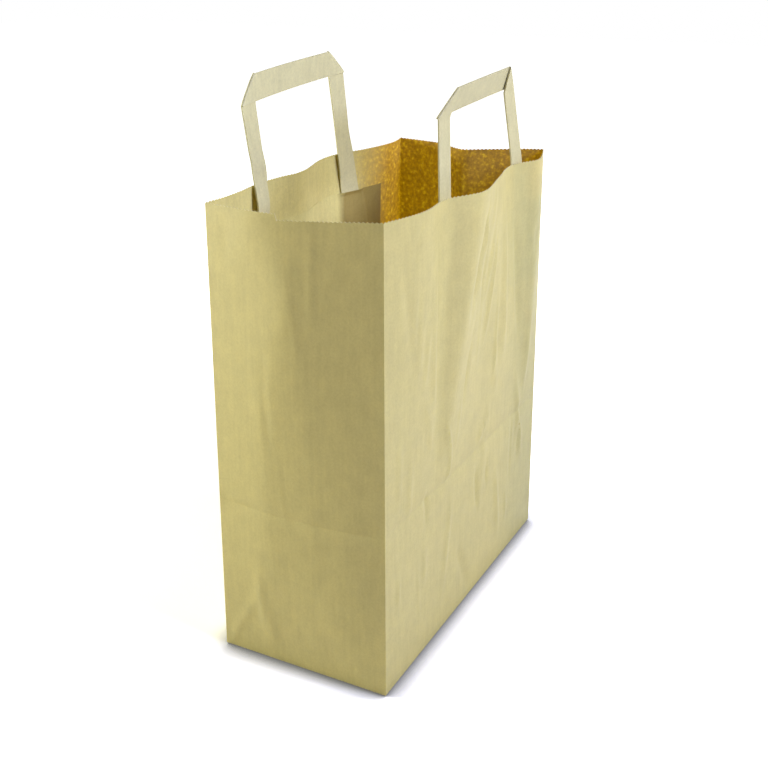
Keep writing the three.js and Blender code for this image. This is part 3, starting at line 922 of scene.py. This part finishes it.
# Lamps: turn about the bag from the +X axis and height angle, in degrees, distance and size in metres
LAMPS = {
    "rear_left_box": dict(turn=116, climb=8, distance=1.3, size=0.35, power=21.0,
                          colour=(1.0, 0.99, 0.86)),
    "front_right_box": dict(turn=300, climb=30, distance=1.1, size=0.35, power=4.0,
                            colour=(1.0, 0.98, 0.68)),
    "front_left_box": dict(turn=266, climb=31, distance=1.0, size=0.30, power=6.7,
                           colour=(0.95, 1.0, 1.42)),
    "right_box": dict(turn=14, climb=22, distance=1.3, size=0.35, power=2.1,
                      colour=(1.0, 1.0, 1.0)),
}
LAMP_AIM = Vector((0, 0, 0.15))

# World: strength and tint of its light on the object; where it is seen directly it is white
AMBIENT = 0.10
AMBIENT_TINT = (1.0, 0.95, 0.78)
WHITE = (1.0, 1.0, 1.0)

# Floor, in metres: the reach of its contact shadow, its half size, and how far it lies under the bag
CONTACT_REACH = 0.017
FLOOR_REACH = 4.0
FLOOR_GAP = 0.00003

# Floor as seen directly: tint, and its exposure from deep in the contact shadow to the open; and the
# colour of its bounce on the object
FLOOR_TINT = (0.98, 0.985, 1.04)
CONTACT_SHADE = 0.5
FLOOR_DARK, FLOOR_OPEN = 0.2, 1.7
FLOOR_BOUNCE = (0.50, 0.48, 0.39)

# The floor's glow, which makes it white: between which distances it grows, and its two strengths
GLOW_FROM, GLOW_TO = 0.3, 0.8
GLOW_NEAR, GLOW_FAR = 0.1, 1.0


def direction(turn, climb):
    """A unit vector, turned from the +X axis and raised, in degrees."""
    turn, climb = math.radians(turn), math.radians(climb)
    flat = math.cos(climb)
    return Vector((flat * math.cos(turn), flat * math.sin(turn), math.sin(climb)))


def set_camera():
    data = bpy.data.cameras.new("camera")
    data.lens = CAMERA_LENS
    data.sensor_width = CAMERA_SENSOR
    camera = add_object("camera", data)
    facing = direction(CAMERA_TURN, CAMERA_DIP).to_track_quat("-Z", "Y")
    camera.matrix_world = Matrix.Translation(CAMERA_PLACE) @ facing.to_matrix().to_4x4()
    bpy.context.scene.camera = camera


def set_lights():
    for name, lamp in LAMPS.items():
        data = bpy.data.lights.new(name, "AREA")
        data.shape = "SQUARE"
        data.size = lamp["size"]
        data.energy = lamp["power"]
        data.color = lamp["colour"]
        towards = direction(lamp["turn"], lamp["climb"])
        placed = add_object(name, data)
        placed.location = LAMP_AIM + towards * lamp["distance"]
        placed.rotation_euler = towards.to_track_quat("Z", "Y").to_euler()


def seen_directly(tree):
    """1 for rays from the camera, or by a mirror or glass from it, and 0 for light that bounces."""
    path = tree.node("LightPath").outputs
    straight = tree.work_out("MAXIMUM", path["Is Camera Ray"], path["Is Glossy Ray"])
    return tree.work_out("MAXIMUM", straight, path["Is Transmission Ray"])


def set_world():
    world = bpy.data.worlds.new("studio")
    tree = Tree(world)
    seen = seen_directly(tree)
    light = tree.node("Background", {"Color": tree.blend(seen, AMBIENT_TINT, WHITE),
                                     "Strength": tree.along(seen, 0.0, 1.0, AMBIENT, 1.0)})
    tree.node("OutputWorld", {"Surface": light.outputs[0]})
    bpy.context.scene.world = world


def floor_material():
    """White paper: seen directly it is exposed to white, so that only the close shadows show on it."""
    tree = material_tree("floor_white")
    seen = seen_directly(tree)
    contact = tree.node("AmbientOcclusion", {"Color": (*WHITE, 1), "Distance": CONTACT_REACH})
    exposure = tree.along(contact.outputs["AO"], CONTACT_SHADE, 1.0, FLOOR_DARK, FLOOR_OPEN)
    exposed = tree.node("VectorMath", {0: FLOOR_TINT, "Scale": exposure}, operation="SCALE")
    shown = tree.blend(seen, FLOOR_BOUNCE, exposed.outputs[0])
    diffuse = tree.node("BsdfDiffuse", {"Color": shown})
    away = tree.node("VectorMath", {0: tree.place()}, operation="LENGTH").outputs["Value"]
    spread = tree.along(away, GLOW_FROM, GLOW_TO, GLOW_NEAR, GLOW_FAR)
    strength = tree.work_out("MULTIPLY", seen, spread)
    glow = tree.node("Emission", {"Color": (*WHITE, 1), "Strength": strength})
    both = tree.node("AddShader", {0: diffuse.outputs[0], 1: glow.outputs[0]})
    return tree.finish(both.outputs[0])


def set_floor():
    mesh = bpy.data.meshes.new("floor")
    sides = ((-1, -1), (1, -1), (1, 1), (-1, 1))
    corners = [(x * FLOOR_REACH, y * FLOOR_REACH, -FLOOR_GAP) for x, y in sides]
    mesh.from_pydata(corners, [], [(0, 1, 2, 3)])
    mesh.materials.append(floor_material())
    add_object("floor", mesh)


# The scene

set_camera()
set_lights()
set_world()
set_floor()
bpy.context.scene.view_settings.view_transform = "Standard"

# The front tape's colour holds painted shade, the rear tape's colour painted light
front_tape = tape_material("front_tape_paper", FRONT_TAPE_SHADED_TONE)
rear_tape = tape_material("rear_tape_paper", REAR_TAPE_LIT_TONE)
patch = patch_material()
sheet = bag_sheet("bag_sheet", outside_material(), inside_material(), cut_material())
pieces = [
    (sheet, "bag_body", "kraft_paper"),
    (tape_object("front_tape", FRONT_HANDLE, front_tape), "front_handle", "handle_tape"),
    (tape_object("rear_tape", REAR_HANDLE, rear_tape), "rear_handle", "handle_tape"),
    (patch_object("front_patch_sheet", FRONT_HANDLE, patch), "front_patch", "patch_paper"),
    (patch_object("rear_patch_sheet", REAR_HANDLE, patch), "rear_patch", "patch_paper"),
]
for piece, node, slot in pieces:
    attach(piece, "root")
    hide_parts(node)
